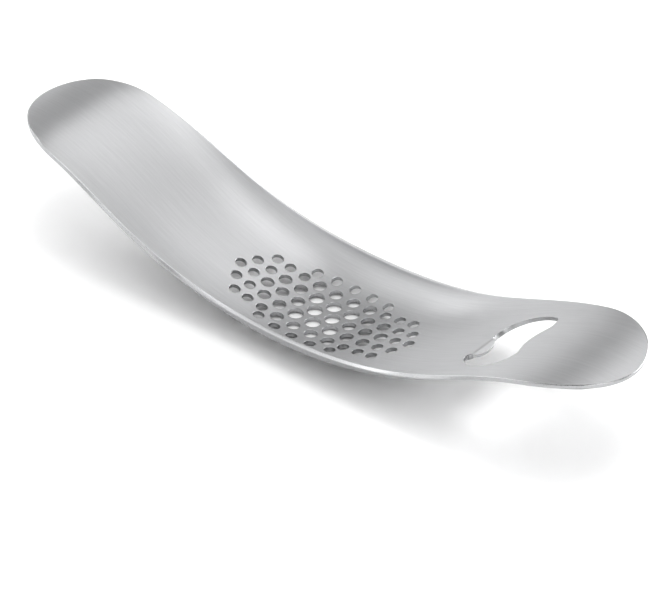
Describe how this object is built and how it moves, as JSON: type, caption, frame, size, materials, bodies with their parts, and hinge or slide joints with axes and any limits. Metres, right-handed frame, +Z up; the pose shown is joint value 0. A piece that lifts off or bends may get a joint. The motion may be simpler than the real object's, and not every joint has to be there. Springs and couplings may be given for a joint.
{
  "type": "garlic rocker",
  "caption": "Pressed steel garlic rocker: a dished strip with a field of crushing holes and two upswept round grips, one with a bottle-opener slot.",
  "frame": {"origin": "on the ground plane under the middle of the rocker, at the lowest point of its underside", "axes": "+X along the strip towards the grip with the opener slot, +Y across it, +Z up, with the hollow of the dish facing up"},
  "size_m": [0.21, 0.0476, 0.0325],
  "materials": {
    "brushed_stainless": "fine satin brushing along the length, with smoothly tumbled edges"
  },
  "bodies": {
    "root": {"rocker_plate": "brushed_stainless"}
  },
  "joints": []
}
